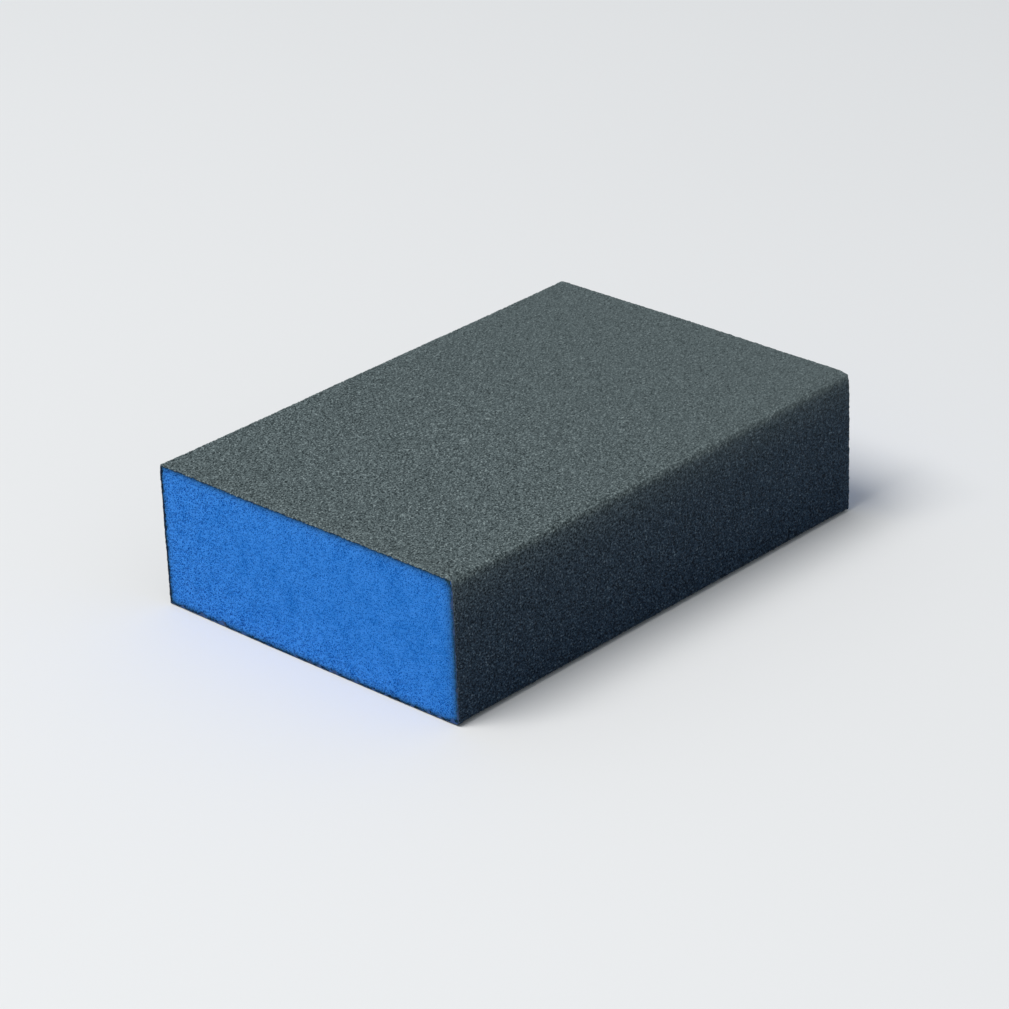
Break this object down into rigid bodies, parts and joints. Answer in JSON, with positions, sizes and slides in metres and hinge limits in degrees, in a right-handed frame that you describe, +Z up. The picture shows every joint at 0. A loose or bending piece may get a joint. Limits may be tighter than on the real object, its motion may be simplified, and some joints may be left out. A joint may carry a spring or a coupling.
{
  "type": "sanding block",
  "caption": "Hand sanding block: a rectangular blue foam core with bare ends, and dark abrasive grit bonded on its long faces.",
  "frame": {"origin": "centre of the bottom face, on the surface that the block rests on", "axes": "+X along the length, +Y across the width, +Z up through the thickness"},
  "size_m": [0.097, 0.066, 0.026],
  "materials": {
    "foam": "matte flexible foam",
    "bond_resin": "matte",
    "abrasive_grit": "matte grit"
  },
  "bodies": {
    "root": {"foam_core": "foam", "bond_coat_top": "bond_resin", "bond_coat_front": "bond_resin", "bond_coat_bottom": "bond_resin", "bond_coat_back": "bond_resin", "grit_layer_top": "abrasive_grit", "grit_layer_front": "abrasive_grit", "grit_layer_bottom": "abrasive_grit", "grit_layer_back": "abrasive_grit"}
  },
  "joints": []
}
